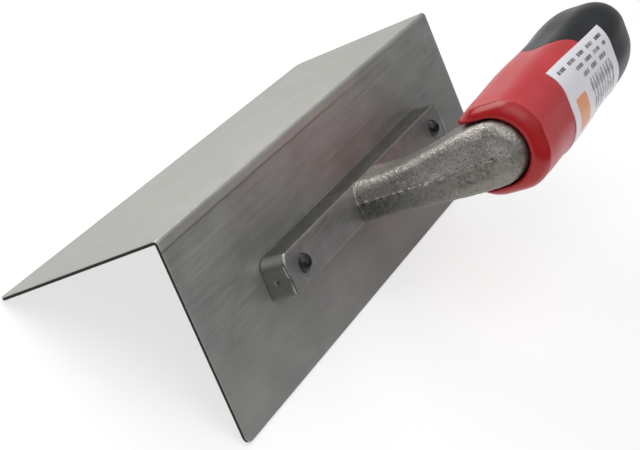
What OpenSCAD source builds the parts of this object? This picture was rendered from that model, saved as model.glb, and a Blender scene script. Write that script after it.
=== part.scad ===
// Corner trowel: a folded steel blade with a cast mount riveted to the back of one wing,
// and a two-colour soft-grip handle pushed onto the mount's tang.
// It stands on the free edges of both wings, with the fold uppermost along X.

/* [Blade] */
// Length of the blade along its fold
blade_l = 200; // [190:5:260]
// Width of the wing that carries the handle, from the fold's outer corner
handled_w = 58.3; // [52:0.1:75]
// Width of the free wing, from the fold's outer corner
free_w = 53.9; // [50:0.1:75]
// Angle between the two wings, inside the fold
fold_angle = 86; // [80:0.5:95]
// Thickness of the sheet
sheet_t = 1; // [0.7:0.1:1.1]
// Outer radius of the fold
bend_r = 1.3; // [1.3:0.1:4]
// Radius on the four free corners
corner_r = 2.5; // [1:0.5:6]

/* [Mount casting] */
// Front edge of the blade to the front end of the foot
foot_x = 37.5; // [36:0.5:40]
// Length of the foot
foot_l = 128.5; // [125:0.5:145]
// Width of the foot and of the neck
foot_w = 12; // [11:0.5:15]
// Distance of the foot's middle line from the wing's, away from the fold
foot_off = 0.4; // [0:0.1:1]
// Height of the foot above the wing
foot_h = 7.5; // [5:0.5:8]
// Corner radius of the foot's ends
foot_end_r = 3.5; // [2:0.5:5]
// Front edge of the blade to the front face of the neck, at the neck's root
neck_x = 88.5; // [85:0.5:92]
// Depth of the neck along the blade
neck_d = 13.5; // [10:0.5:15]
// How far the neck leans towards the rear by the height at which it starts to swell
neck_lean = 2; // [0:0.5:4]
// How far the neck's back flares out where it meets the foot
rear_flare = 6; // [3:1:12]
// Height above the wing at which the neck starts to swell into the elbow
neck_top = 26; // [22:1:30]
// Radius of the elbow
elbow_r = 10; // [8:0.5:10]
// Thickness of the tang inside the handle
tang_w = 8; // [5:0.5:10]
// Height of the tang at its root
tang_h = 13; // [10:0.5:14]
// Length of the tang
tang_l = 86; // [60:1:95]

/* [Rivets] */
// Diameter of the rivet shanks
rivet_d = 4; // [3:0.5:5]
// Diameter of the domed heads
rivet_head_d = 5.8; // [5.5:0.1:7]
// Height of the domed heads
rivet_head_h = 2.3; // [1:0.1:2.5]
// Diameter of the flush ends in the working face
rivet_flush_d = 5.6; // [5.2:0.1:7]
// Front edge of the blade to the front rivet
rivet_x = 48; // [46:0.5:48]
// Distance between the two rivets
rivet_spacing = 107.8; // [90:0.1:108]
// Distance of both rivets from the wing's middle line, away from the fold
rivet_off = 0.8; // [0:0.1:1]

/* [Handle] */
// Height of the handle's axis above the wing
handle_h = 49; // [47:0.5:55]
// Front edge of the blade to the front of the handle
handle_x = 101; // [99:0.5:103]
// Length of the handle
handle_l = 124.7; // [118:0.1:130]
// Half width of the handle at its belly
handle_a = 14.6; // [14:0.1:17]
// Corner radius of the handle's section, as a share of its half width
handle_round = 0.8; // [0.6:0.05:1]
// Radius of the rolled front lip
lip_r = 4.2; // [1:0.1:4.5]
// Depth of the mouth that the elbow sits in
mouth_d = 9; // [8:0.5:10]
// Gap between the elbow and the mouth
mouth_gap = 0.5; // [0.3:0.1:1]
// Radius of the hard core
core_r = 10.9; // [9:0.1:11]
// Mean distance from the handle's front to the seam between its two colours
seam_x = 60.2; // [50:0.1:75]
// Height of the seam's four waves
seam_wave = 4.8; // [0:0.1:7]

/* [Label] */
// Length of the label along the handle
label_l = 54; // [30:1:60]
// Front of the handle to the label
label_x = 30; // [20:1:40]
// Where the label starts round the handle, in degrees from the top towards the fold
label_from = 47; // [30:1:60]
// Where the label ends round the handle, in degrees from the top away from the fold
label_to = 62; // [30:1:65]
// How far the label turns round the handle from its front to its rear, in degrees
label_skew = 8; // [0:1:10]
// Thickness of the label
label_t = 0.25; // [0.2:0.05:0.5]

/* [Hidden] */
$fn = 64;

// The free edges of both wings lie at the same height, so the lean of each wing follows from
// the widths, the thickness and the fold.
handled_diagonal = norm([handled_w, sheet_t]);
free_diagonal = norm([free_w, sheet_t]);
handled_tilt = atan(sheet_t / handled_w);
free_tilt = atan(sheet_t / free_w);
spread = 180 - fold_angle + handled_tilt + free_tilt;
handled_rise = atan2(free_diagonal * sin(spread),
                     handled_diagonal + free_diagonal * cos(spread));
handled_lean = handled_rise - handled_tilt;
free_lean = 180 - fold_angle - handled_lean;
ridge_z = handled_diagonal * sin(handled_rise);

// Stations of the handle's half width, as distance from the handle's front and size
swell = [[lip_r, handle_a - 0.7], [16, handle_a - 0.4], [41, handle_a], [71, handle_a - 0.5],
         [90, handle_a - 0.1]];
swell_end = swell[len(swell) - 1];
tip_power = 2.4;
tip_l = handle_l - swell_end[0];

// The handle's axis, the middle of the handled wing and the box that the whole tool fills
mid_v = handled_w / 2;
axis_y = -mid_v * cos(handled_lean) - handle_h * sin(handled_lean);
widest_reach = handle_a * (handle_round
    + (1 - handle_round) * (cos(handled_lean) + sin(handled_lean)));
front_y = axis_y - widest_reach;
back_y = free_w * cos(free_lean);
shift_x = -(handle_x + handle_l) / 2;
shift_y = -(front_y + back_y) / 2;

// Resolution of the lofted skins
ring_n = 48;
bend_steps = 12;
eps = 0.01;
label_lift = 0.05;
neck_steps = 8;

// Centre of the elbow's ball, and where the ball is cut flat for the tang
elbow_x = handle_x + 6.5;
elbow_z = handle_h - 1;
shoulder_x = handle_x + mouth_d - mouth_gap;

// Depth of the rivets' flush cones
rivet_cone_h = (rivet_flush_d - rivet_d) / 2;

// Wing frame: X along the fold from the blade's front, -Y across the wing, Z out of the wing
module on_wing() {
    translate([shift_x, shift_y, ridge_z]) rotate([handled_lean, 0, 0]) children();
}

// As on_wing(), with Y = 0 on the middle line of the wing
module on_midline() {
    on_wing() translate([0, -mid_v, 0]) children();
}

// ---------- Blade ----------

// Point p turned by an angle about the origin
function turned(angle, p) =
    [p[0] * cos(angle) - p[1] * sin(angle), p[0] * sin(angle) + p[1] * cos(angle)];

// Points along an arc
function arc(centre, r, from, to) =
    [for (i = [0:bend_steps]) centre + r * [cos(from + (to - from) * i / bend_steps),
                                            sin(from + (to - from) * i / bend_steps)]];

// Section of the folded sheet, with the fold's outer corner at the origin: up the handled
// wing's outer face, round the fold, down the free wing, and back along the inner faces
module blade_section() {
    centre = turned(handled_lean, [-bend_r / tan(fold_angle / 2), -bend_r]);
    polygon(concat(
        [turned(handled_lean, [-handled_w, 0])],
        arc(centre, bend_r, 90 + handled_lean, 90 - free_lean),
        [turned(-free_lean, [free_w, 0]), turned(-free_lean, [free_w, -sheet_t])],
        arc(centre, bend_r - sheet_t, 90 - free_lean, 90 + handled_lean),
        [turned(handled_lean, [-handled_w, -sheet_t])]));
}

// Cutter that rounds one free corner of a wing in three short flats, at the origin, with the
// metal towards +X +Y
module corner_cutter() {
    translate([0, 0, -2 * sheet_t]) linear_extrude(3 * sheet_t) difference() {
        translate([-1, -1]) square(corner_r + 1);
        translate([corner_r, corner_r]) circle(corner_r, $fn = 12);
    }
}

// Both free corners of a wing of the given width, in the wing frame
module corner_cutters(width) {
    translate([0, -width, 0]) corner_cutter();
    translate([blade_l, -width, 0]) mirror([1, 0, 0]) corner_cutter();
}

// The rivet's outline below its head: a shank and a flush cone in the sheet's inner face
module rivet_body(top) {
    translate([0, 0, -sheet_t]) cylinder(d = rivet_d, h = sheet_t + top);
    translate([0, 0, -sheet_t])
        cylinder(d1 = rivet_flush_d, d2 = rivet_d, h = rivet_cone_h);
}

// Where rivet 0, the front one, or rivet 1 stands
module at_rivet(i) {
    on_midline() translate([rivet_x + i * rivet_spacing, -rivet_off, 0]) children();
}

module blade() {
    color("silver") difference() {
        translate([shift_x, shift_y, ridge_z]) rotate([90, 0, 90])
            linear_extrude(blade_l) blade_section();
        on_wing() corner_cutters(handled_w);
        translate([shift_x, shift_y, ridge_z]) mirror([0, 1, 0]) rotate([free_lean, 0, 0])
            corner_cutters(free_w);
        for (i = [0, 1]) at_rivet(i) rivet_body(1);
    }
}

// ---------- Mount casting ----------

module foot() {
    translate([foot_x, -foot_off - foot_w / 2, 0]) linear_extrude(foot_h) {
        translate([foot_end_r, 0]) square([foot_l - 2 * foot_end_r, foot_w]);
        translate([0, foot_end_r]) square([foot_l, foot_w - 2 * foot_end_r]);
        for (x = [foot_end_r, foot_l - foot_end_r], y = [foot_end_r, foot_w - foot_end_r])
            translate([x, y]) circle(foot_end_r);
    }
}

// Side outline of the neck: its front leans back in a curve, its back flares where it meets the
// foot, and its root is inside the foot
module neck_outline() {
    root = foot_h - 1;
    function height(t) = foot_h + (neck_top - foot_h) * t;
    function front(t) = neck_x + neck_lean * t * t;
    function back(t) = front(t) + neck_d + rear_flare * pow(1 - t, 3);
    polygon(concat(
        [[front(0), root]],
        [for (i = [0:neck_steps]) [front(i / neck_steps), height(i / neck_steps)]],
        [for (i = [neck_steps:-1:0]) [back(i / neck_steps), height(i / neck_steps)]],
        [[back(0), root]]));
}

// The neck swells from a plate into the round elbow that faces the handle
module elbow() {
    hull() {
        translate([neck_x + neck_lean, -foot_off - foot_w / 2, neck_top - 1])
            cube([neck_d, foot_w, 1]);
        intersection() {
            translate([elbow_x, 0, elbow_z]) sphere(elbow_r, $fn = 32);
            translate([elbow_x - 2 * elbow_r, -elbow_r, elbow_z - elbow_r])
                cube([shoulder_x - elbow_x + 2 * elbow_r, 2 * elbow_r, 2 * elbow_r]);
        }
    }
}

// The tang's side outline tapers towards the rear; grow is the socket's clearance
module tang(grow) {
    root = tang_h / 2 + grow;
    tip = tang_h / 2 - 2 + grow;
    translate([shoulder_x - eps, tang_w / 2 + grow, handle_h]) rotate([90, 0, 0])
        linear_extrude(tang_w + 2 * grow)
            polygon([[0, -root], [tang_l + grow, -tip], [tang_l + grow, tip], [0, root]]);
}

module mount_casting() {
    color("darkgray") difference() {
        on_midline() {
            foot();
            translate([0, foot_w / 2 - foot_off, 0]) rotate([90, 0, 0])
                linear_extrude(foot_w) neck_outline();
            elbow();
            tang(0);
        }
        for (i = [0, 1]) at_rivet(i)
            translate([0, 0, -1]) cylinder(d = rivet_d, h = foot_h + 2);
    }
}

// ---------- Rivets ----------

module rivet() {
    dome_r = (pow(rivet_head_d / 2, 2) + pow(rivet_head_h, 2)) / (2 * rivet_head_h);
    rivet_body(foot_h);
    intersection() {
        translate([0, 0, foot_h + rivet_head_h - dome_r]) sphere(dome_r);
        translate([0, 0, foot_h]) cylinder(d = 2 * rivet_head_d, h = 2 * rivet_head_h);
    }
}

module front_rivet() {
    color("dimgray") at_rivet(0) rivet();
}

module rear_rivet() {
    color("dimgray") at_rivet(1) rivet();
}

// ---------- Handle ----------

// Smooth step from 0 to 1
function ease(t) = (1 - cos(180 * t)) / 2;

// Half width of the handle at distance d from its front, between swell[i] and swell[i + 1]
function swell_size(d, i = 0) =
    d <= swell[i + 1][0]
    ? swell[i][1] + (swell[i + 1][1] - swell[i][1])
        * ease((d - swell[i][0]) / (swell[i + 1][0] - swell[i][0]))
    : swell_size(d, i + 1);

// Half width with the rolled lip at the front and the domed tip at the rear
function half_size(d) =
    d < lip_r ? swell[0][1] - lip_r + sqrt(max(0, lip_r * lip_r - pow(lip_r - d, 2)))
    : d < swell_end[0] ? swell_size(d)
    : swell_end[1] * pow(max(0, 1 - pow((d - swell_end[0]) / tip_l, tip_power)), 1 / tip_power);

// Radius of a rounded square of half width a, at an angle from the middle of a side
function squircle(a, angle) =
    let (t = abs((angle + 45 + 360) % 90 - 45), k = a * (1 - handle_round), c = a * handle_round)
    a * cos(t) * sin(t) <= k * cos(t) * cos(t)
    ? a / cos(t)
    : k * (cos(t) + sin(t)) + sqrt(c * c - k * k * (1 - sin(2 * t)));

// Point of the handle's skin; angle 0 is the top and positive angles lean away from the fold
function skin(d, angle, lift = 0) =
    let (r = squircle(half_size(d), angle) + lift)
    [handle_x + d, -r * sin(angle), handle_h + r * cos(angle)];

// Where the seam between the two colours lies at an angle round the handle
function seam(angle) = seam_x - seam_wave * cos(4 * angle);

// Distances of the front grip's rings: the lip's quarter round, then even steps to the seam
lip_steps = 5;
body_steps = 14;
grip_stations = concat([for (i = [0:lip_steps]) lip_r * (1 - cos(90 * i / lip_steps))],
                       [for (i = [1:body_steps])
                           lip_r + (seam_x - lip_r) * i / body_steps]);

// Distances of the rear grip's rings past the seam: even steps, then rings that close the dome
rear_steps = 10;
dome_steps = 9;
dome_stations = [for (i = [1:dome_steps]) swell_end[0] + tip_l * sin(90 * i / (dome_steps + 0.6))];

angles = [for (i = [0:ring_n - 1]) 360 * i / ring_n];

// Closed skin through rings of equal length, with a point at the middle of each end
module loft(rings, first, last) {
    n = len(rings[0]);
    m = len(rings);
    points = concat([first], [for (ring = rings) for (p = ring) p], [last]);
    function at(i, j) = 1 + i * n + j % n;
    polyhedron(points = points, faces = concat(
        [for (j = [0:n - 1]) [0, at(0, j), at(0, j + 1)]],
        [for (i = [0:m - 2]) for (j = [0:n - 1]) [at(i, j), at(i + 1, j), at(i + 1, j + 1)]],
        [for (i = [0:m - 2]) for (j = [0:n - 1]) [at(i, j), at(i + 1, j + 1), at(i, j + 1)]],
        [for (j = [0:n - 1]) [m * n + 1, at(m - 1, j + 1), at(m - 1, j)]]));
}

function axis_point(d) = [handle_x + d, 0, handle_h];

// The mouth is round above and open below, where the neck comes up
module mouth() {
    translate([handle_x - 1, 0, elbow_z]) rotate([90, 0, 90]) linear_extrude(mouth_d + 1) {
        circle(elbow_r + mouth_gap);
        translate([-elbow_r - mouth_gap, -2 * handle_a])
            square([2 * (elbow_r + mouth_gap), 2 * handle_a]);
    }
}

module core_body() {
    translate([handle_x + mouth_d, 0, handle_h]) rotate([0, 90, 0])
        cylinder(r = core_r, h = handle_l - mouth_d - 12);
}

module handle_core() {
    color("ivory") on_midline() difference() {
        core_body();
        tang(0.1);
    }
}

module front_grip() {
    color("firebrick") on_midline() difference() {
        loft([for (s = grip_stations) [for (a = angles)
                 skin(s < lip_r + eps ? s
                      : lip_r + (s - lip_r) * (seam(a) - lip_r) / (seam_x - lip_r), a)]],
             axis_point(0), axis_point(seam_x));
        core_body();
        mouth();
    }
}

module rear_grip() {
    color("darkslategray") on_midline() difference() {
        loft(concat([for (i = [0:rear_steps]) [for (a = angles)
                        skin(seam(a) + (swell_end[0] - seam(a)) * i / rear_steps, a)]],
                    [for (d = dome_stations) [for (a = angles) skin(d, a)]]),
             axis_point(seam_x), axis_point(handle_l));
        core_body();
    }
}

// ---------- Label ----------

// A thin sticker bent over the top of the handle, across the seam
module label() {
    across = 18;
    along = 18;
    n = across + 1;
    m = along + 1;
    function spot(i, j, lift) = skin(label_x + label_l * i / along,
        -label_from + (label_from + label_to) * j / across + label_skew * i / along, lift);
    function low(i, j) = i * n + j;
    function high(i, j) = n * m + i * n + j;
    points = [for (lift = [label_lift, label_lift + label_t]) for (i = [0:along])
              for (j = [0:across]) spot(i, j, lift)];
    quads = concat(
        [for (i = [0:along - 1]) for (j = [0:across - 1])
            [high(i, j), high(i, j + 1), high(i + 1, j + 1), high(i + 1, j)]],
        [for (i = [0:along - 1]) for (j = [0:across - 1])
            [low(i, j), low(i + 1, j), low(i + 1, j + 1), low(i, j + 1)]],
        [for (i = [0:along - 1]) [low(i, 0), high(i, 0), high(i + 1, 0), low(i + 1, 0)]],
        [for (i = [0:along - 1])
            [low(i, across), low(i + 1, across), high(i + 1, across), high(i, across)]],
        [for (j = [0:across - 1]) [low(0, j), low(0, j + 1), high(0, j + 1), high(0, j)]],
        [for (j = [0:across - 1])
            [low(along, j), high(along, j), high(along, j + 1), low(along, j + 1)]]);
    color("white") on_midline() polyhedron(points = points,
        faces = [for (q = quads) for (k = [1, 2]) [q[0], q[k], q[k + 1]]]);
}

blade();
mount_casting();
front_rivet();
rear_rivet();
handle_core();
front_grip();
rear_grip();
label();
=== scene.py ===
import math

import bmesh
import bpy
import numpy as np
from mathutils import Matrix, Vector, noise


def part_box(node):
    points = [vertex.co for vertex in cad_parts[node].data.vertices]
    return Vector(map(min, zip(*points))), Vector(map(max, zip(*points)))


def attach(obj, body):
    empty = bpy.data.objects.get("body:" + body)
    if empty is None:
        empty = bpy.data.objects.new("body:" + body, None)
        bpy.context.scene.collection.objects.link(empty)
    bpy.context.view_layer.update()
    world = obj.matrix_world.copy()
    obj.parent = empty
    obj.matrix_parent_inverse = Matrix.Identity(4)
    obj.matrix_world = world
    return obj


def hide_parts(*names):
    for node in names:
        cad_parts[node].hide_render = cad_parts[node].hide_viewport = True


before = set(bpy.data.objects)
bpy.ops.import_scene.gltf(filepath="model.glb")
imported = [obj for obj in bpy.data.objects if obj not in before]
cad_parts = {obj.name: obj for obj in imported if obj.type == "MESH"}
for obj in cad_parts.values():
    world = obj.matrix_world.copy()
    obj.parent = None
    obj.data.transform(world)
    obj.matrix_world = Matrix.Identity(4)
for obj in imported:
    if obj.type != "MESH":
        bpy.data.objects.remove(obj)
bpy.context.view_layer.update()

# The tool is built in millimetres in the handled wing's own frame, and placed in metres:
# x runs along the fold from the blade's front, v across the handled wing from the fold's outer
# corner, and h straight out of that wing. w is v counted from the wing's middle line.
MM = 0.001

# ---------- Driving dimensions, in millimetres and degrees, as in the CAD model ----------

# Blade: the handled wing's and the free wing's widths, the fold, and the sheet
HANDLED_W = 58.3
FREE_W = 53.9
FOLD_ANGLE = 86.0
SHEET_T = 1.0
BEND_R = 1.3
CORNER_R = 2.5
MID_V = HANDLED_W / 2

# Mount casting: the foot's size and its shift from the wing's middle line, the neck's place and
# depth, the elbow, and the tang inside the handle
FOOT_L = 128.5
FOOT_W = 12.0
FOOT_OFF = 0.4
FOOT_H = 7.5
FOOT_END_R = 3.5
NECK_X = 88.5
NECK_D = 13.5
REAR_FLARE = 6.0
ELBOW_R = 10.0
ELBOW_IN = 6.5
ELBOW_DROP = 1.0
TANG_W = 8.0
TANG_H = 13.0
TANG_L = 86.0

# Rivets: shank, domed head, flush end, and their places along and across the wing
RIVET_R = 2.0
RIVET_HEAD_R = 2.9
RIVET_HEAD_H = 2.3
RIVET_FLUSH_R = 2.8
RIVET_X = 48.0
RIVET_SPACING = 107.8
RIVET_OFF = 0.8

# Handle: its axis stands HANDLE_H out of the wing, HANDLE_A is its greatest half width, and
# SWELL gives its half width at distances from its front
HANDLE_H = 49.0
HANDLE_A = 14.6
HANDLE_ROUND = 0.8
LIP_R = 4.2
LIP_D = 4.5
LIP_LEAN = 22.0
MOUTH_D = 9.0
MOUTH_GAP = 0.5
CORE_R = 10.9
TIP_WALL = 12.0
SEAM_X = 60.2
SEAM_WAVE = 4.8
SEAM_EDGE_R = 0.35
TIP_POWER = 2.4
SWELL = ((LIP_R, HANDLE_A - 0.7), (16, HANDLE_A - 0.4), (41, HANDLE_A), (71, HANDLE_A - 0.5),
         (90, HANDLE_A - 0.1))

# The CAD model's facets lie a little inside its true curves, so the smooth skin does too
INSET = 0.03

# Label: its place and length along the handle, and the angles round it where it starts and ends
LABEL_X = 30.0
LABEL_L = 54.0
LABEL_FROM = -47.0
LABEL_TO = 62.0
LABEL_SKEW = 8.0
LABEL_T = 0.25
LABEL_LIFT = 0.05

# ---------- The wings' frames ----------


def wing_leans():
    """How far each wing leans from level, as the free edges of both stand on the floor"""
    handled = math.hypot(HANDLED_W, SHEET_T)
    free = math.hypot(FREE_W, SHEET_T)
    tilt = math.atan(SHEET_T / HANDLED_W)
    spread = math.pi - math.radians(FOLD_ANGLE) + tilt + math.atan(SHEET_T / FREE_W)
    rise = math.atan2(free * math.sin(spread), handled + free * math.cos(spread))
    return rise - tilt, math.pi - math.radians(FOLD_ANGLE) - rise + tilt


HANDLED_LEAN, FREE_LEAN = wing_leans()
BLADE_LOW, BLADE_HIGH = (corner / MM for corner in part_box("blade"))
BLADE_L = BLADE_HIGH.x - BLADE_LOW.x
ALONG = np.array([1, 0, 0])
ACROSS = np.array([0, -math.cos(HANDLED_LEAN), -math.sin(HANDLED_LEAN)])
OUTWARD = np.array([0, -math.sin(HANDLED_LEAN), math.cos(HANDLED_LEAN)])
FOLD_FRONT = np.array(BLADE_LOW) - HANDLED_W * ACROSS
FOLD_FRONT[2] += SHEET_T * math.cos(HANDLED_LEAN)
FOOT_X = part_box("mount_casting")[0].x / MM - BLADE_LOW.x
HANDLE_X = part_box("front_grip")[0].x / MM - BLADE_LOW.x
HANDLE_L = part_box("rear_grip")[1].x / MM - BLADE_LOW.x - HANDLE_X
TIP_L = HANDLE_L - SWELL[-1][0]
ELBOW_X = HANDLE_X + ELBOW_IN
ELBOW_H = HANDLE_H - ELBOW_DROP
SHOULDER_X = HANDLE_X + MOUTH_D - MOUTH_GAP


def placed(x, w, h):
    """Points of the handled wing's frame, in metres in the shared frame"""
    x, w, h = (np.asarray(a, float)[..., None] for a in (x, w, h))
    points = FOLD_FRONT + x * ALONG + (w + MID_V) * ACROSS + h * OUTWARD
    return points * MM


# ---------- Meshes ----------


def make_piece(name, points, faces, materials):
    mesh = bpy.data.meshes.new(name)
    mesh.from_pydata([tuple(p) for p in points], [], [tuple(f) for f in faces])
    mesh.validate()
    for material in materials:
        mesh.materials.append(material)
    piece = bpy.data.objects.new(name, mesh)
    bpy.context.collection.objects.link(piece)
    return piece


def apply_modifiers(piece):
    bpy.context.view_layer.update()
    graph = bpy.context.evaluated_depsgraph_get()
    made = bpy.data.meshes.new_from_object(piece.evaluated_get(graph))
    piece.modifiers.clear()
    piece.data = made


def finish_piece(piece, slot, *nodes):
    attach(piece, "root")
    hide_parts(*nodes)


def gradient(field, p):
    """Slope of a field at points p, in field units a millimetre"""
    reach = 0.02
    slope = np.empty_like(p)
    for axis in range(3):
        step = np.zeros(3)
        step[axis] = reach
        slope[:, axis] = (field(*(p + step).T) - field(*(p - step).T)) / (2 * reach)
    return slope


def settle(field, p, most):
    """Moves points onto the zero surface of a field, each by at most a given step a round"""
    rounds = 4
    for _ in range(rounds):
        slope = gradient(field, p)
        size = np.maximum((slope ** 2).sum(1), 0.05)
        move = -(field(*p.T) / size)[:, None] * slope
        length = np.maximum(np.linalg.norm(move, axis=1), 1e-9)
        p = p + move * np.minimum(1, most / length)[:, None]
    return p


def surface_net(field, low, high, step):
    """Quads over the zero surface of a field, which is negative inside the piece"""
    axes = [np.arange(a - step, b + 2 * step, step) for a, b in zip(low, high)]
    values = field(*np.meshgrid(*axes, indexing="ij", sparse=True))
    inside = values < 0
    # A cell is crossed where some of its 8 corners lie inside and some outside
    count = np.zeros([n - 1 for n in inside.shape], np.int8)
    corners = [(i, j, k) for i in (0, 1) for j in (0, 1) for k in (0, 1)]
    for i, j, k in corners:
        count += inside[i:i + count.shape[0], j:j + count.shape[1], k:k + count.shape[2]]
    cells = np.argwhere((count > 0) & (count < 8))
    number = np.full(count.shape, -1, int)
    number[tuple(cells.T)] = np.arange(len(cells))
    # Each crossed cell gets one point, the mean of where the surface cuts the cell's edges
    total = np.zeros((len(cells), 3))
    hits = np.zeros(len(cells))
    for a in corners:
        for axis in range(3):
            if a[axis]:
                continue
            b = list(a)
            b[axis] = 1
            fa = values[tuple((cells + a).T)]
            fb = values[tuple((cells + b).T)]
            crossed = (fa < 0) != (fb < 0)
            along = np.where(crossed, fa / np.where(crossed, fa - fb, 1), 0)
            spot = np.array(a, float) + along[:, None] * (np.array(b) - a)
            total += spot * crossed[:, None]
            hits += crossed
    start = np.array([axis[0] for axis in axes])
    points = start + (cells + total / hits[:, None]) * step
    # Each crossed grid edge gets one quad, between the points of the 4 cells round it
    faces = []
    for axis in range(3):
        u, v = (axis + 1) % 3, (axis + 2) % 3
        first = np.take(inside, range(inside.shape[axis] - 1), axis)
        crossed = np.argwhere(first != np.take(inside, range(1, inside.shape[axis]), axis))
        ring = []
        for du, dv in ((1, 1), (0, 1), (0, 0), (1, 0)):
            cell = crossed.copy()
            cell[:, u] -= du
            cell[:, v] -= dv
            ring.append(number[tuple(cell.T)])
        ring = np.array(ring).T
        ring[~first[tuple(crossed.T)]] = ring[~first[tuple(crossed.T)]][:, ::-1]
        faces.append(ring)
    return settle(field, points, step / 2), np.concatenate(faces)


def round_max(a, b, r):
    """Larger of two fields, with the edge between them rounded to radius r"""
    return np.minimum(np.maximum(a, b), -r) + np.hypot(np.maximum(a + r, 0), np.maximum(b + r, 0))


def round_min(a, b, r):
    """Smaller of two fields, with a fillet of radius r between them"""
    return -round_max(-a, -b, r)


def drift(p, scale, seed, octaves):
    """Smooth noise from about -1 to 1 at points p, with features of about scale millimetres"""
    shift = Vector((seed * 17.3, seed * 5.1, seed * 9.7))
    return np.array([noise.fractal(Vector(q) / scale + shift, 0.6, 2, octaves) for q in p])


# ---------- Procedural materials ----------


class Nodes:
    """A material's node tree, with short calls for the nodes that these materials use"""

    def __init__(self, name):
        self.material = bpy.data.materials.new(name)
        self.material.use_nodes = True
        self.tree = self.material.node_tree
        self.shader = self.tree.nodes["Principled BSDF"]
        self.place = self.add("ShaderNodeTexCoord").outputs["Object"]

    def add(self, kind, **settings):
        node = self.tree.nodes.new(kind)
        for key, value in settings.items():
            setattr(node, key, value)
        return node

    def link(self, source, target):
        self.tree.links.new(source, target)

    def scaled(self, scale):
        """Object coordinates in which a pattern's features span these millimetres along x, y, z"""
        node = self.add("ShaderNodeMapping")
        node.vector_type = "TEXTURE"
        node.inputs["Scale"].default_value = [MM * s for s in scale]
        self.link(self.place, node.inputs["Vector"])
        return node.outputs["Vector"]

    def distance(self, direction):
        """Distance in millimetres from the fold's front corner, along a direction"""
        node = self.add("ShaderNodeVectorMath", operation="DOT_PRODUCT")
        node.inputs[1].default_value = direction / MM
        self.link(self.place, node.inputs[0])
        return self.math("SUBTRACT", node.outputs["Value"], float(FOLD_FRONT @ direction))

    def noise(self, vector, detail=4, rough=0.6, distortion=0):
        node = self.add("ShaderNodeTexNoise")
        node.inputs["Scale"].default_value = 1
        node.inputs["Detail"].default_value = detail
        node.inputs["Roughness"].default_value = rough
        node.inputs["Distortion"].default_value = distortion
        self.link(vector, node.inputs["Vector"])
        return node.outputs["Fac"]

    def spread(self, value, low, high, to_low=0.0, to_high=1.0):
        """Maps low..high to to_low..to_high, and holds the ends outside that range"""
        node = self.add("ShaderNodeMapRange")
        node.inputs["From Min"].default_value = low
        node.inputs["From Max"].default_value = high
        node.inputs["To Min"].default_value = to_low
        node.inputs["To Max"].default_value = to_high
        self.link(value, node.inputs["Value"])
        return node.outputs["Result"]

    def math(self, operation, a, b):
        node = self.add("ShaderNodeMath", operation=operation)
        for socket, value in zip(node.inputs, (a, b)):
            if isinstance(value, (int, float)):
                socket.default_value = value
            else:
                self.link(value, socket)
        return node.outputs["Value"]

    def mix(self, amount, a, b):
        """Blend of two tones, each of which is a colour or a socket"""
        node = self.add("ShaderNodeMix", data_type="RGBA")
        for socket, value in ((0, amount), (6, a), (7, b)):
            if isinstance(value, tuple):
                node.inputs[socket].default_value = (*value, 1)
            else:
                self.link(value, node.inputs[socket])
        return node.outputs[2]

    def bump(self, height, depth_mm):
        node = self.add("ShaderNodeBump")
        node.inputs["Strength"].default_value = 1
        node.inputs["Distance"].default_value = depth_mm * MM
        self.link(height, node.inputs["Height"])
        self.link(node.outputs["Normal"], self.shader.inputs["Normal"])

    def to(self, socket, value):
        if isinstance(value, (int, float)):
            self.shader.inputs[socket].default_value = value
        else:
            self.link(value, self.shader.inputs[socket])


def blade_steel():
    """Ground sheet steel: fine streaks along the fold, cloudy stains and dark specks. Beside the
    fold a paler strip, a painted highlight from the bend, ends in the bending tool's mark, and both
    fade towards the rear."""
    n = Nodes("blade_steel")
    streaks = n.noise(n.scaled((26, 0.5, 0.5)), detail=5, rough=0.7)
    clouds = n.noise(n.scaled((24, 14, 14)), detail=4, rough=0.55, distortion=0.6)
    specks = n.noise(n.scaled((2.2, 2.2, 2.2)), detail=3, rough=0.6)
    tints = n.noise(n.scaled((30, 9, 9)), detail=5, rough=0.6, distortion=1.0)
    tone = n.mix(n.spread(clouds, 0.3, 0.72), (0.42, 0.43, 0.4), (0.52, 0.51, 0.49))
    tone = n.mix(n.spread(tints, 0.52, 0.68, 0, 0.5), tone, (0.46, 0.43, 0.445))
    tone = n.mix(n.spread(tints, 0.46, 0.32, 0, 0.5), tone, (0.42, 0.47, 0.41))
    tone = n.mix(n.spread(streaks, 0.35, 0.7, 0, 0.35), tone, (0.6, 0.595, 0.575))
    tone = n.mix(n.spread(specks, 0.62, 0.75, 0, 0.25), tone, (0.28, 0.26, 0.23))
    mark_v, mark_r, fade_from, fade_to = 3.3, 0.5, 95, 165
    v = n.math("ADD", n.distance(ACROSS), n.spread(clouds, 0.3, 0.7, -0.25, 0.25))
    outer_face = n.spread(n.distance(OUTWARD), -0.6, -0.3)
    shown = n.math("MULTIPLY", outer_face, n.spread(n.distance(ALONG), fade_to, fade_from))
    # Painted highlight: a paler strip on the handled wing's outer face, just past the bend
    strip = n.math("MULTIPLY", n.spread(v, BEND_R - 0.4, BEND_R + 0.2),
                   n.spread(v, mark_v + 0.1, mark_v - 0.6, 0, 0.55))
    tone = n.mix(n.math("MULTIPLY", strip, shown), tone, (0.66, 0.65, 0.59))
    off_mark = n.math("ABSOLUTE", n.math("SUBTRACT", v, mark_v), 0)
    mark = n.spread(off_mark, mark_r, 0.1, 0, 0.55)
    tone = n.mix(n.math("MULTIPLY", mark, shown), tone, (0.24, 0.18, 0.18))
    n.to("Base Color", tone)
    n.to("Metallic", 0.96)
    rough = n.math("ADD", n.spread(clouds, 0.3, 0.7, 0.5, 0.6),
                   n.spread(streaks, 0.3, 0.7, -0.05, 0.07))
    n.to("Roughness", rough)
    n.bump(n.math("ADD", n.math("MULTIPLY", streaks, 0.6), n.math("MULTIPLY", specks, 0.4)), 0.03)
    return n.material


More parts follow.
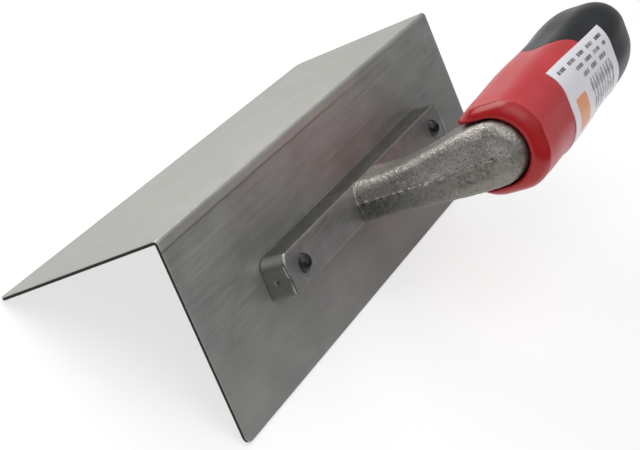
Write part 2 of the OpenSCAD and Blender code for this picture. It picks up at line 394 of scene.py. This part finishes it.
def cut_steel():
    """The blade's sheared edges: darker than its faces, and finely marked"""
    n = Nodes("cut_steel")
    marks = n.noise(n.scaled((0.35, 0.35, 0.35)), detail=4, rough=0.65)
    n.to("Base Color", n.mix(n.spread(marks, 0.3, 0.7), (0.012, 0.012, 0.011), (0.04, 0.04, 0.036)))
    n.to("Metallic", 0.3)
    n.to("Specular IOR Level", 0.3)
    n.to("Roughness", n.spread(marks, 0.3, 0.7, 0.5, 0.7))
    n.bump(marks, 0.03)
    return n.material


def cast_aluminium():
    """Sand-cast aluminium: grainy bumps with darker pits, and bright tips that are painted glints
    """
    n = Nodes("cast_aluminium")
    grain = n.noise(n.scaled((0.55, 0.55, 0.55)), detail=4, rough=0.65)
    lumps = n.noise(n.scaled((2.4, 2.4, 2.4)), detail=3, rough=0.5)
    clouds = n.noise(n.scaled((12, 12, 12)), detail=3, rough=0.5)
    tone = n.mix(n.spread(clouds, 0.3, 0.7), (0.3, 0.284, 0.264), (0.4, 0.38, 0.355))
    # Painted glints: the grain's high spots are coloured bright
    tone = n.mix(n.spread(grain, 0.58, 0.72), tone, (0.68, 0.66, 0.63))
    tone = n.mix(n.spread(grain, 0.46, 0.34), tone, (0.15, 0.141, 0.128))
    n.to("Base Color", tone)
    n.to("Metallic", 0.88)
    n.to("Roughness", n.spread(grain, 0.4, 0.66, 0.5, 0.22))
    n.bump(n.math("ADD", grain, n.math("MULTIPLY", lumps, 0.8)), 0.16)
    return n.material


def ground_aluminium(name, dark, light, rough, run, specks, depth):
    """A ground face of the foot, smoother than the rest. run is the reach of its faint marks
    along x, y and z, specks how dark its specks are, and depth that of its grain."""
    n = Nodes(name)
    marks = n.noise(n.scaled(run), detail=4, rough=0.6)
    clouds = n.noise(n.scaled((7, 7, 7)), detail=3, rough=0.5)
    grain = n.noise(n.scaled((0.8, 0.8, 0.8)), detail=3, rough=0.6)
    tone = n.mix(n.spread(clouds, 0.3, 0.7), dark, light)
    tone = n.mix(n.spread(grain, 0.6, 0.75, 0, specks), tone, (0.17, 0.166, 0.158))
    n.to("Base Color", tone)
    n.to("Metallic", 0.85)
    n.to("Roughness", n.spread(marks, 0.3, 0.7, rough - 0.07, rough + 0.07))
    n.bump(n.math("ADD", marks, n.math("MULTIPLY", grain, 0.7)), depth)
    return n.material


def painted_shade_skin():
    """Smooth cast skin in a dark tone that is painted shade, for the casting's half beyond the
    parting line, the foot's sides and low top edge, and the dent in its front end; paler towards
    the elbow"""
    n = Nodes("painted_shade_skin")
    clouds = n.noise(n.scaled((5, 5, 5)), detail=4, rough=0.55)
    grain = n.noise(n.scaled((0.7, 0.7, 0.7)), detail=4, rough=0.6)
    # Painted shade: the dark tone stands in for the shade on every face that uses this skin
    tone = n.mix(n.spread(clouds, 0.3, 0.7), (0.085, 0.083, 0.075), (0.14, 0.137, 0.124))
    upper = n.mix(n.spread(clouds, 0.3, 0.7), (0.2, 0.19, 0.168), (0.3, 0.286, 0.254))
    tone = n.mix(n.spread(n.distance(OUTWARD), 20, 42), tone, upper)
    tone = n.mix(n.spread(grain, 0.62, 0.78), tone, (0.42, 0.415, 0.4))
    tone = n.mix(n.spread(grain, 0.42, 0.3), tone, (0.05, 0.048, 0.044))
    n.to("Base Color", tone)
    n.to("Metallic", 0.8)
    n.to("Roughness", n.spread(clouds, 0.3, 0.7, 0.36, 0.5))
    n.bump(n.math("ADD", n.math("MULTIPLY", grain, 0.6), clouds), 0.09)
    return n.material


def rivet_steel():
    """Dark steel with worn, brighter spots"""
    n = Nodes("rivet_steel")
    wear = n.noise(n.scaled((0.9, 0.9, 0.9)), detail=4, rough=0.6)
    n.to("Base Color", n.mix(n.spread(wear, 0.55, 0.75), (0.02, 0.02, 0.02),
                             (0.1, 0.098, 0.095)))
    n.to("Metallic", 0.5)
    n.to("Roughness", n.spread(wear, 0.3, 0.7, 0.2, 0.4))
    n.bump(wear, 0.05)
    return n.material


def core_plastic():
    n = Nodes("core_plastic")
    clouds = n.noise(n.scaled((4, 4, 4)), detail=3)
    n.to("Base Color", n.mix(n.spread(clouds, 0.3, 0.7), (0.6, 0.57, 0.48), (0.7, 0.67, 0.58)))
    n.to("Roughness", n.spread(clouds, 0.3, 0.7, 0.5, 0.65))
    n.bump(n.noise(n.scaled((0.6, 0.6, 0.6))), 0.03)
    return n.material


def soft_grip(name, dark, light, rough, specular, sheen):
    """Smooth moulded soft grip with a faint skin texture and dusty patches"""
    n = Nodes(name)
    skin = n.noise(n.scaled((0.5, 0.5, 0.5)), detail=3, rough=0.5)
    patches = n.noise(n.scaled((15, 15, 15)), detail=4, rough=0.55)
    n.to("Base Color", n.mix(n.spread(patches, 0.3, 0.72), dark, light))
    n.to("Roughness", n.math("ADD", n.spread(patches, 0.3, 0.7, rough - 0.04, rough + 0.05),
                             n.spread(skin, 0.3, 0.7, -0.03, 0.03)))
    n.to("Specular IOR Level", specular)
    n.to("Sheen Weight", sheen)
    n.to("Sheen Roughness", 0.4)
    n.bump(skin, 0.02)
    return n.material


def vinyl(name, tone_a, tone_b):
    """Printed vinyl with a faint fibre"""
    n = Nodes(name)
    fibre = n.noise(n.scaled((0.7, 0.7, 0.7)), detail=3)
    n.to("Base Color", n.mix(n.spread(fibre, 0.3, 0.7), tone_a, tone_b))
    n.to("Roughness", n.spread(fibre, 0.3, 0.7, 0.32, 0.45))
    n.bump(fibre, 0.015)
    return n.material


def floor_paint():
    """A pale table top that glows softly, which keeps the shadows light"""
    n = Nodes("floor_paint")
    clouds = n.noise(n.scaled((60, 60, 60)), detail=3)
    n.to("Base Color", n.mix(clouds, (0.44, 0.44, 0.44), (0.46, 0.46, 0.46)))
    n.to("Roughness", 0.8)
    n.to("Specular IOR Level", 0.1)
    n.shader.inputs["Emission Color"].default_value = (1, 1, 1, 1)
    n.to("Emission Strength", 0.64)
    return n.material


# ---------- Blade ----------


def blade_section():
    """Pairs of outer and inner points across the folded sheet, and each pair's distance to the
    nearer free edge, from the handled wing's free edge to the free wing's"""
    flat_steps, bend_steps = 44, 12
    inset = BEND_R / math.tan(math.radians(FOLD_ANGLE) / 2)
    handled = np.array([math.cos(HANDLED_LEAN), math.sin(HANDLED_LEAN)])
    free = np.array([math.cos(FREE_LEAN), -math.sin(FREE_LEAN)])
    handled_out = np.array([-handled[1], handled[0]])
    free_out = np.array([-free[1], free[0]])
    centre = -inset * handled - BEND_R * handled_out
    pairs = []

    def eased(n):
        """Steps from 0 to 1 that lie close together near 0"""
        return (np.arange(n + 1) / n) ** 1.6

    for share in eased(flat_steps):
        edge = (HANDLED_W - inset) * share
        point = (edge - HANDLED_W) * handled
        pairs.append((point, point - SHEET_T * handled_out, edge))
    for i in range(1, bend_steps):
        lean = HANDLED_LEAN - (HANDLED_LEAN + FREE_LEAN) * i / bend_steps
        out = np.array([-math.sin(lean), math.cos(lean)])
        pairs.append((centre + BEND_R * out, centre + (BEND_R - SHEET_T) * out, FREE_W))
    for share in eased(flat_steps)[::-1]:
        edge = (FREE_W - inset) * share
        point = (FREE_W - edge) * free
        pairs.append((point, point - SHEET_T * free_out, edge))
    return pairs


def make_blade(face_metal, edge_metal):
    """The folded sheet, lofted along its section, with rounded edges and the rivets' holes"""
    columns, edge_r, hole_gap = 90, 0.12, 0.02
    pairs = blade_section()
    origin = FOLD_FRONT[1:]
    shells = ([], [])
    for outer, inner, edge in pairs:
        gap = max(0.0, CORNER_R - edge)
        inset = CORNER_R - math.sqrt(CORNER_R ** 2 - gap ** 2)
        xs = BLADE_LOW.x + inset + (BLADE_L - 2 * inset) * np.arange(columns + 1) / columns
        for shell, point in zip(shells, (outer, inner)):
            y, z = origin + point
            shell.extend([(x * MM, y * MM, z * MM) for x in xs])
    row = columns + 1
    total = len(shells[0])
    faces = []
    for i in range(len(pairs) - 1):
        for j in range(columns):
            a, b, c, d = i * row + j, i * row + j + 1, (i + 1) * row + j + 1, (i + 1) * row + j
            faces += [(a, b, c, d), (total + d, total + c, total + b, total + a)]
        for j in (0, columns):
            a, b = i * row + j, (i + 1) * row + j
            side = (a, b, total + b, total + a)
            faces.append(side if j == 0 else side[::-1])
    last = (len(pairs) - 1) * row
    for j in range(columns):
        faces.append((j + 1, j, total + j, total + j + 1))
        faces.append((last + j, last + j + 1, total + last + j + 1, total + last + j))
    blade = make_piece("blade_sheet", shells[0] + shells[1], faces, [face_metal, edge_metal])
    for face in blade.data.polygons:
        face.material_index = int({v < total for v in face.vertices} == {True, False})
    edge_round = blade.modifiers.new("edge_round", "BEVEL")
    edge_round.width = edge_r * MM
    edge_round.segments = 2
    edge_round.limit_method = "ANGLE"
    edge_round.angle_limit = math.radians(50)
    edge_round.material = 0
    apply_modifiers(blade)
    for i in (0, 1):
        cutter = make_rivet_body("hole_cutter", i, [], hole_gap)
        hole = blade.modifiers.new("hole", "BOOLEAN")
        hole.operation = "DIFFERENCE"
        hole.solver = "EXACT"
        hole.object = cutter
        apply_modifiers(blade)
        bpy.data.objects.remove(cutter)
    smooth_by_angle(blade, 35)
    finish_piece(blade, "blade_steel", "blade")


def smooth_by_angle(piece, angle):
    """Smooth shading, with edges sharper than the angle kept sharp"""
    shape = bmesh.new()
    shape.from_mesh(piece.data)
    for face in shape.faces:
        face.smooth = True
    for edge in shape.edges:
        edge.smooth = edge.calc_face_angle(0) < math.radians(angle)
    shape.to_mesh(piece.data)
    shape.free()


# ---------- Mount casting ----------


def rounded_rectangle(a, b, half_a, half_b, r):
    """Distance from the outline of a rectangle with corners of radius r, negative inside"""
    qa = np.abs(a) - (half_a - r)
    qb = np.abs(b) - (half_b - r)
    return np.hypot(np.maximum(qa, 0), np.maximum(qb, 0)) + np.minimum(np.maximum(qa, qb), 0) - r


def foot_field(x, w, h):
    """Slab with drafted ends and sides, rounder in plan towards the fold, and slightly crowned"""
    end_draft, side_draft, crown, base_r = 0.13, 0.02, 0.004, 0.4
    low_end_r, fold_top_r, low_top_r = 1.2, 0.45, 0.2
    along = np.abs(x - FOOT_X - FOOT_L / 2) + end_draft * h
    off = w - FOOT_OFF
    across = np.abs(off) + side_draft * h
    end_r = np.where(off < 0, FOOT_END_R, low_end_r)
    plan = rounded_rectangle(along, across, FOOT_L / 2, FOOT_W / 2, end_r)
    top = h - FOOT_H + crown * off ** 2
    top_r = np.where(off < 0, fold_top_r, low_top_r)
    return round_max(round_max(plan, top, top_r), -h, base_r)


def ease(t):
    """Smooth step from 0 to 1"""
    t = np.clip(t, 0, 1)
    return t * t * (3 - 2 * t)


def arm_field(x, w, h):
    """Neck and elbow: a plate that leans back as it rises, peaked along the parting line, that
    turns into a round bar and fills the handle's mouth"""
    peak, fold_r, low_r, bar_r, rear_r, end_r = 0.2, 3.6, 1.2, 5.0, 2.0, 0.4
    top_lean, root_depth = 1.5, 2
    fill, fill_from, fill_rise = 3.4, 29, 8
    full = ELBOW_X - ELBOW_R - NECK_X
    rise = (h - FOOT_H) / (ELBOW_H - FOOT_H)
    over = np.clip(h - ELBOW_H, 0, ELBOW_R) / ELBOW_R
    lean = full * np.clip(rise, 0, 1) ** 2 + top_lean * over
    u = x - NECK_X - lean
    turn = ease(np.clip(rise, 0, 1) ** 1.3)
    half = FOOT_W / 2 + (ELBOW_R - FOOT_W / 2) * turn
    off = w - FOOT_OFF * (1 - turn)
    front = peak * (1 - turn) * np.abs(off) - u
    sides = np.hypot(off, np.maximum(h - ELBOW_H, 0)) - half
    root_r = np.where(off < 0, fold_r, low_r)
    body = round_max(front, sides, root_r + (bar_r - root_r) * turn)
    rear = u - NECK_D - REAR_FLARE * (1 - np.clip(rise, 0, 1)) ** 3
    rear -= fill * ease((h - fill_from) / fill_rise)
    body = np.where(h > ELBOW_H, body, round_max(body, rear, rear_r))
    return round_max(np.maximum(body, FOOT_H - root_depth - h), x - SHOULDER_X, end_r)


def tang_field(x, w, h):
    """Bar that starts inside the elbow and gets thinner towards its end"""
    taper, edge_r, end_r, overlap = 2, 1.0, 0.6, 3
    share = (x - SHOULDER_X) / TANG_L
    half_h = TANG_H / 2 - taper * share
    bar = rounded_rectangle(w, h - HANDLE_H, TANG_W / 2, half_h, edge_r)
    ends = np.maximum(x - SHOULDER_X - TANG_L, SHOULDER_X - overlap - x)
    return round_max(bar, ends, end_r)


def casting_field(x, w, h):
    """Foot, arm and tang with fillets between them, a low ridge of flash, and the rivet holes"""
    flash_rise, flash_r, root_fillet, tang_fillet, hole_gap = 0.22, 0.4, 0.5, 0.8, 0.03
    on_arm = (h > FOOT_H - 1) & (h < ELBOW_H)
    flash = flash_rise * np.exp(-((w - FOOT_OFF) / flash_r) ** 2) * on_arm
    body = round_min(foot_field(x, w, h), arm_field(x, w, h) - flash, root_fillet)
    body = round_min(body, tang_field(x, w, h), tang_fillet)
    for i in (0, 1):
        off = np.hypot(x - RIVET_X - i * RIVET_SPACING, w - RIVET_OFF)
        body = np.maximum(body, RIVET_R + hole_gap - off)
    return body


def parting_line(points):
    """Where the uneven parting line lies across the wing, at each point's x and h"""
    wander, reach = 0.5, 5.0
    return wander * drift(points * np.array([1, 0, 1]), reach, 4, 2) + FOOT_OFF


def end_dent(x, w, h):
    """Depth of the small dent in the foot's front end, as a share from 0 to 1"""
    dent_w, dent_h, dent_r = 1.3, 3.4, 0.5
    return np.exp(-((w - dent_w) ** 2 + (h - dent_h) ** 2) / dent_r ** 2) * (x < FOOT_X + 2)


def cast_relief(points, line, dent):
    """How far the surface rises at points: grain and lumps on the cast parts, the uneven flash
    along the parting line, the pit where it reaches the elbow, and the dent"""
    grain_rise, lump_rise, flash_rise, foot_rise = 0.1, 0.12, 0.6, 0.03
    flash_r, pit_h, pit_r, pit_depth, dent_depth = 0.5, 1.6, 0.45, 0.7, 0.2
    x, w, h = points.T
    cast = np.clip((h - FOOT_H - 0.3) / 1.5, 0, 1) * (x < SHOULDER_X - 0.5)
    grain = drift(points, 0.9, 1, 2)
    lumps = drift(points, 4.5, 2, 2)
    flash = np.exp(-((w - line) / flash_r) ** 2) * drift(points, 1.6, 3, 3) * (h < ELBOW_H)
    pit = np.exp(-((h - ELBOW_H) / pit_h) ** 2 - ((w - line) / pit_r) ** 2)
    rise = cast * (grain_rise * grain + lump_rise * lumps + flash_rise * flash * (x < ELBOW_X - 2))
    rise += (1 - cast) * foot_rise * lumps * (h > 0.5)
    return rise - pit_depth * pit * (x < ELBOW_X - 5) - dent_depth * dent


def casting_finish(middles, facing, line, dent):
    """Which finish each face has: 0 rough, 1 ground, 2 dark skin with painted shade, 3 the foot's
    ends, ground and darker with painted shade. facing is how squarely it faces out of the wing,
    from -1 to 1."""
    foot_top, fold_facing, low_facing = FOOT_H + 0.25, 0.6, 0.93
    ragged, ragged_from, ragged_rise = 3.5, 40, 8
    x, w, h = middles.T
    foot = h < foot_top
    # On the foot's low side only faces almost square to the wing are ground, so that edge's
    # rounding takes the dark skin: painted shade over its highlight
    ground = foot & (facing > np.where(w < FOOT_OFF, fold_facing, low_facing))
    end = foot & (np.abs(x - FOOT_X - FOOT_L / 2) > FOOT_L / 2 - FOOT_END_R)
    blur = ragged * ease((h - ragged_from) / ragged_rise) * drift(middles, 0.8, 5, 2)
    painted_shade_half = (w > line + blur) & (x < SHOULDER_X)
    # Kind 2, the dark skin, is painted shade: in the dent, on the foot's sides and on the arm's
    # half beyond the parting line
    return np.select([dent > 0.3, end & ~ground, ground, foot | painted_shade_half], [2, 3, 1, 2], 0)


def make_casting(rough_metal, ground_metal, painted_shade_metal, end_metal_painted_shade):
    """The whole casting as one skin, with its relief and a finish for each face"""
    step = 0.42
    low = (FOOT_X, -ELBOW_R, 0)
    high = (SHOULDER_X + TANG_L, ELBOW_R, ELBOW_H + ELBOW_R)
    points, faces = surface_net(casting_field, low, high, step)
    normal = gradient(casting_field, points)
    normal /= np.linalg.norm(normal, axis=1)[:, None]
    line = parting_line(points)
    dent = end_dent(*points.T)
    points = points + normal * cast_relief(points, line, dent)[:, None]
    piece = make_piece("mount_casting_body", placed(*points.T), faces,
                       [rough_metal, ground_metal, painted_shade_metal, end_metal_painted_shade])
    middles, facing, line, dent = (a[faces].mean(1) for a in (points, normal[:, 2], line, dent))
    piece.data.polygons.foreach_set("material_index", casting_finish(middles, facing, line, dent))
    smooth_by_angle(piece, 50)
    finish_piece(piece, "cast_aluminium", "mount_casting")


# ---------- Rivets ----------


def make_rivet_body(name, i, materials, grow=0.0):
    """Lathed rivet: flush cone in the blade's inner face, shank, and a domed head. Grown a
    little, it cuts its own hole."""
    rim, rim_in, edge_in, edge_up = 0.15, 0.12, 0.08, 0.06
    head_low = FOOT_H - rim
    dome_r = (RIVET_HEAD_R ** 2 + RIVET_HEAD_H ** 2) / (2 * RIVET_HEAD_H)
    reach = math.asin(RIVET_HEAD_R / dome_r)
    cone_h = RIVET_FLUSH_R - RIVET_R
    dome_steps, around = 11, 48
    below = -SHEET_T - grow * 10
    profile = [(RIVET_FLUSH_R / 2, below), (RIVET_FLUSH_R + grow - edge_in, below),
               (RIVET_FLUSH_R + grow, below + edge_up), (RIVET_R + grow, -SHEET_T + cone_h),
               (RIVET_R + grow, head_low), (RIVET_HEAD_R - rim_in, head_low),
               (RIVET_HEAD_R + grow, head_low + rim)]
    for step in range(dome_steps):
        turn = reach * (1 - step / dome_steps)
        profile.append((dome_r * math.sin(turn),
                        FOOT_H + RIVET_HEAD_H - dome_r + dome_r * math.cos(turn)))
    x0, w0 = RIVET_X + i * RIVET_SPACING, RIVET_OFF
    turns = 2 * math.pi * np.arange(around) / around
    points = [(x0, w0, below)]
    for r, h in profile:
        points += [(x0 + r * math.cos(t), w0 + r * math.sin(t), h) for t in turns]
    points.append((x0, w0, FOOT_H + RIVET_HEAD_H))
    faces = []
    for j in range(around):
        k = (j + 1) % around
        faces.append((0, 1 + j, 1 + k))
        for ring in range(len(profile) - 1):
            a, b = 1 + ring * around, 1 + (ring + 1) * around
            faces.append((a + j, b + j, b + k, a + k))
        top = 1 + (len(profile) - 1) * around
        faces.append((top + j, len(points) - 1, top + k))
    return make_piece(name, placed(*np.array(points).T), faces, materials)


def make_rivets(steel):
    for i, name in enumerate(("front_rivet", "rear_rivet")):
        rivet = make_rivet_body(name + "_body", i, [steel])
        smooth_by_angle(rivet, 40)
        finish_piece(rivet, "rivet_steel", name)


# ---------- Handle ----------


def swell(d):
    """Half width of the handle at distance d from its front, between the lip and the tip"""
    places, sizes = (np.array(c, float) for c in zip(*SWELL))
    d = np.clip(d, places[0], places[-1])
    i = np.clip(np.searchsorted(places, d, side="right") - 1, 0, len(places) - 2)
    t = (d - places[i]) / (places[i + 1] - places[i])
    return sizes[i] + (sizes[i + 1] - sizes[i]) * (1 - np.cos(np.pi * t)) / 2


def section_size(w, g):
    """Half width of the rounded square through a point of the handle's section"""
    a, b = np.abs(w), np.abs(g)
    # For a half width of 1, the flat sides reach k and the corners are arcs of radius c
    k, c = 1 - HANDLE_ROUND, HANDLE_ROUND
    square = c * c - 2 * k * k
    total = k * (a + b)
    corner = (np.sqrt(total ** 2 + square * (a * a + b * b)) - total) / square
    flat = np.maximum(a, b)
    return np.where(np.minimum(a, b) <= k * flat, flat, corner)


def skin_field(d, w, g):
    """The handle's skin, with its domed tip and a lip that starts in a crisp edge"""
    size = section_size(w, g)
    end = SWELL[-1][1]
    past = np.maximum(d - SWELL[-1][0], 0) / TIP_L
    tip = end * ((size / end) ** TIP_POWER + past ** TIP_POWER) ** (1 / TIP_POWER) - end
    side = np.where(d > SWELL[-1][0], tip, size - swell(d)) + INSET
    lean, front_r = math.radians(LIP_LEAN), LIP_R - 1
    slope = side * math.cos(lean) + (LIP_D - d) * math.sin(lean)
    return np.maximum(side, round_max(slope, -d, front_r))


def seam_place(w, g):
    """Distance of the seam between the colours from the handle's front"""
    return SEAM_X - SEAM_WAVE * np.cos(4 * np.arctan2(w, g))


def core_field(d, w, g):
    """The round core inside both grips, which starts at the mouth's floor"""
    return np.maximum(np.hypot(w, g) - CORE_R, MOUTH_D - d)


def front_grip_field(x, w, h):
    """The red part: skin up to the seam, less the core and the mouth that the elbow sits in"""
    floor_r, rim_r = 0.8, 1.1
    d, g = x - HANDLE_X, h - HANDLE_H
    up = h - ELBOW_H
    half = ELBOW_R + MOUTH_GAP
    around = np.where(up > 0, np.hypot(w, up), np.abs(w)) - half
    mouth = round_max(around, d - MOUTH_D, floor_r)
    body = round_max(skin_field(d, w, g), -mouth, rim_r)
    body = round_max(body, d - seam_place(w, g), SEAM_EDGE_R)
    return np.maximum(body, -core_field(d, w, g))


def rear_grip_field(x, w, h):
    """The black part: skin past the seam, less the core"""
    d, g = x - HANDLE_X, h - HANDLE_H
    body = round_max(skin_field(d, w, g), seam_place(w, g) - d, SEAM_EDGE_R)
    core = np.maximum(core_field(d, w, g), d - HANDLE_L + TIP_WALL)
    return np.maximum(body, -core)


def make_grips(red, black, lip_red_with_painted_shade):
    """Both grips as closed skins, the front one with a glossier lip whose darker red is partly its
    own and partly painted shade
    """
    step = 0.5
    reach = HANDLE_A + 1
    for name, field, start, end, materials, slot in (
            ("front_grip", front_grip_field, 0, SEAM_X + SEAM_WAVE, (red, lip_red_with_painted_shade), "grip_red"),
            ("rear_grip", rear_grip_field, SEAM_X - SEAM_WAVE, HANDLE_L, (black,), "grip_black")):
        low = (HANDLE_X + start, -reach, HANDLE_H - reach)
        high = (HANDLE_X + end, reach, HANDLE_H + reach)
        points, faces = surface_net(field, low, high, step)
        piece = make_piece(name + "_body", placed(*points.T), faces, materials)
        on_lip = points[faces].mean(1)[:, 0] < HANDLE_X + LIP_D
        piece.data.polygons.foreach_set("material_index", on_lip.astype(int))
        smooth_by_angle(piece, 30)
        finish_piece(piece, slot, name)


# ---------- Label ----------


def skin_radius(d, angle):
    """Distance of the skin from the handle's axis, at an angle from the top"""
    w, g = np.sin(angle), np.cos(angle)
    return swell(d) / section_size(w, g)


def label_ink(along, across):
    """Which print covers a spot of the label: 0 bare, 1 dark bars, 2 grey block, 3 colour block.
    Each row of bars is its start across, its height, and its two ends along the label."""
    bars = ((2.0, 1.2, 4, 50), (4.8, 1.1, 16, 50), (7.6, 1.3, 20, 49), (21.6, 0.8, 20, 49))
    block_low, block_high, block_left, block_right = 10.6, 20.5, 22, 49
    patch_along, patch_across, patch_a, patch_b, patch_r = 10.5, 17, 4, 3.5, 1.5
    for start, tall, left, right in bars:
        if start <= across <= start + tall and left <= along <= right:
            word = math.sin(0.62 * along + 1.7 * start) > -0.45
            stroke = math.sin(4.3 * along + start) + math.sin(7.1 * along + 2.2 * start) > -0.7
            return 1 if word and stroke else 0
    if block_low <= across <= block_high and block_left <= along <= block_right:
        shade = math.sin(1.9 * along) + math.sin(4.7 * along + 0.5 * across)
        return 2 if shade > -0.6 + 0.9 * math.sin(0.7 * across) ** 2 else 0
    past_a = max(abs(along - patch_along) - patch_a, 0)
    past_b = max(abs(across - patch_across) - patch_b, 0)
    return 3 if math.hypot(past_a, past_b) < patch_r else 0


def make_label(paper, ink, grey, colour):
    """The sticker, bent over both grips, with its print set face by face"""
    pitch, corner_stretch = 0.3, 1.02
    columns = round(LABEL_L / pitch)
    wide = HANDLE_A * math.radians(LABEL_TO - LABEL_FROM) * corner_stretch
    rows = round(wide / pitch)
    points = []
    for lift in (LABEL_LIFT, LABEL_LIFT + LABEL_T):
        for i in range(columns + 1):
            for j in range(rows + 1):
                d = LABEL_X + LABEL_L * i / columns
                angle = math.radians(LABEL_FROM + (LABEL_TO - LABEL_FROM) * j / rows
                                     + LABEL_SKEW * i / columns)
                r = skin_radius(d, angle) + lift
                points.append((HANDLE_X + d, r * math.sin(angle), HANDLE_H + r * math.cos(angle)))
    layer = (columns + 1) * (rows + 1)
    faces, inks = [], []
    for i in range(columns):
        for j in range(rows):
            a, b = i * (rows + 1) + j, (i + 1) * (rows + 1) + j
            faces.append((layer + a, layer + a + 1, layer + b + 1, layer + b))
            inks.append(label_ink((i + 0.5) * LABEL_L / columns, (j + 0.5) * wide / rows))
            faces.append((a, b, b + 1, a + 1))
            inks.append(0)
    rim = [i * (rows + 1) for i in range(columns + 1)]
    rim += [columns * (rows + 1) + j for j in range(1, rows + 1)]
    rim += [i * (rows + 1) + rows for i in range(columns - 1, -1, -1)]
    rim += list(range(rows - 1, 0, -1))
    for a, b in zip(rim, rim[1:] + rim[:1]):
        faces.append((a, layer + a, layer + b, b))
        inks.append(0)
    label = make_piece("label_sheet", placed(*np.array(points).T), faces,
                       [paper, ink, grey, colour])
    label.data.polygons.foreach_set("material_index", inks)
    smooth_by_angle(label, 40)
    finish_piece(label, "label_vinyl", "label")


# ---------- Camera, floor and light ----------


def make_camera():
    """Looks along the tool from beyond the blade's front, over the handled wing"""
    azimuth, elevation, roll = (math.radians(a) for a in (11.474, 31.0, 22.986))
    target = Vector((-16.58, 1.25, 9.37)) * MM
    distance = 509.58 * MM
    look = Vector((math.cos(azimuth) * math.cos(elevation), math.sin(azimuth) * math.cos(elevation),
                   -math.sin(elevation)))
    level = look.cross(Vector((0, 0, 1))).normalized()
    upright = level.cross(look)
    right = level * math.cos(roll) + upright * math.sin(roll)
    up = right.cross(look)
    data = bpy.data.cameras.new("camera")
    data.sensor_width = 36
    data.lens = 95.12
    data.clip_start = 0.01
    camera = bpy.data.objects.new("camera", data)
    turn = Matrix((right, up, -look)).transposed()
    camera.matrix_world = Matrix.Translation(target - look * distance) @ turn.to_4x4()
    bpy.context.collection.objects.link(camera)
    bpy.context.scene.camera = camera


def make_floor():
    half = 30.0
    floor = make_piece("floor", [(-half, -half, 0), (half, -half, 0), (half, half, 0),
                                 (-half, half, 0)], [(0, 1, 2, 3)], [floor_paint()])


def add_softbox(name, direction, distance, width, height, power):
    """A warm rectangular light that faces the tool from a direction"""
    data = bpy.data.lights.new(name, "AREA")
    data.shape = "RECTANGLE"
    data.size, data.size_y = width, height
    data.energy = power
    data.color = (1, 0.975, 0.93)
    box = bpy.data.objects.new(name, data)
    back = Vector(direction).normalized()
    box.location = back * distance
    box.rotation_mode = "QUATERNION"
    box.rotation_quaternion = (-back).to_track_quat("-Z", "Y")
    bpy.context.collection.objects.link(box)


def make_light():
    """A dome that is bright overhead and dim near the horizon, with two softboxes"""
    world = bpy.data.worlds.new("studio")
    world.use_nodes = True
    tree = world.node_tree
    height = tree.nodes.new("ShaderNodeSeparateXYZ")
    tree.links.new(tree.nodes.new("ShaderNodeTexCoord").outputs["Generated"],
                   height.inputs["Vector"])
    glow = tree.nodes.new("ShaderNodeMapRange")
    for socket, value in (("From Min", 0.35), ("From Max", 0.8), ("To Min", 0.06), ("To Max", 0.7)):
        glow.inputs[socket].default_value = value
    tree.links.new(height.outputs["Z"], glow.inputs["Value"])
    tree.links.new(glow.outputs["Result"], tree.nodes["Background"].inputs["Strength"])
    tree.nodes["Background"].inputs["Color"].default_value = (0.95, 0.97, 1, 1)
    bpy.context.scene.world = world
    add_softbox("key", (0.3, 0.75, 0.6), distance=0.55, width=0.4, height=0.3, power=1.25)
    add_softbox("overhead", (-0.3, 0.1, 1), distance=0.9, width=0.8, height=0.8, power=2.2)
    bpy.context.scene.view_settings.view_transform = "Standard"


make_camera()
make_floor()
make_light()
make_blade(blade_steel(), cut_steel())
make_casting(cast_aluminium(),
             ground_aluminium("ground_aluminium", (0.36, 0.35, 0.34), (0.45, 0.44, 0.43),
                              rough=0.41, run=(9, 0.5, 0.5), specks=0.5, depth=0.05),
             # Dark skin whose tone is painted shade
             painted_shade_skin(),
             # The foot's ends: the ground finish, glossier, in a darker tone that is painted shade
             ground_aluminium("ground_end_painted_shade", (0.27, 0.266, 0.252), (0.33, 0.325, 0.308),
                              rough=0.19, run=(2, 7, 7), specks=0.2, depth=0.004))
make_rivets(rivet_steel())
make_grips(soft_grip("grip_red", (0.56, 0.038, 0.047), (0.64, 0.05, 0.06),
                     rough=0.42, specular=0.5, sheen=0.12),
           soft_grip("grip_black", (0.016, 0.018, 0.02), (0.025, 0.028, 0.031),
                     rough=0.4, specular=0.45, sheen=0.04),
           # The lip: glossier, and a darker red that is partly its own and partly painted shade on
           # its front faces
           soft_grip("grip_lip", (0.4, 0.012, 0.014), (0.47, 0.018, 0.02),
                     rough=0.22, specular=0.4, sheen=0.0))
make_label(vinyl("label_paper", (0.95, 0.93, 1.0), (0.98, 0.96, 1.0)),
           vinyl("label_ink", (0.08, 0.08, 0.1), (0.13, 0.13, 0.16)),
           vinyl("label_grey", (0.26, 0.26, 0.28), (0.4, 0.4, 0.42)),
           vinyl("label_orange", (1.0, 0.4, 0.2), (1.0, 0.48, 0.26)))
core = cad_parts["handle_core"]
core.data.materials.clear()
core.data.materials.append(core_plastic())
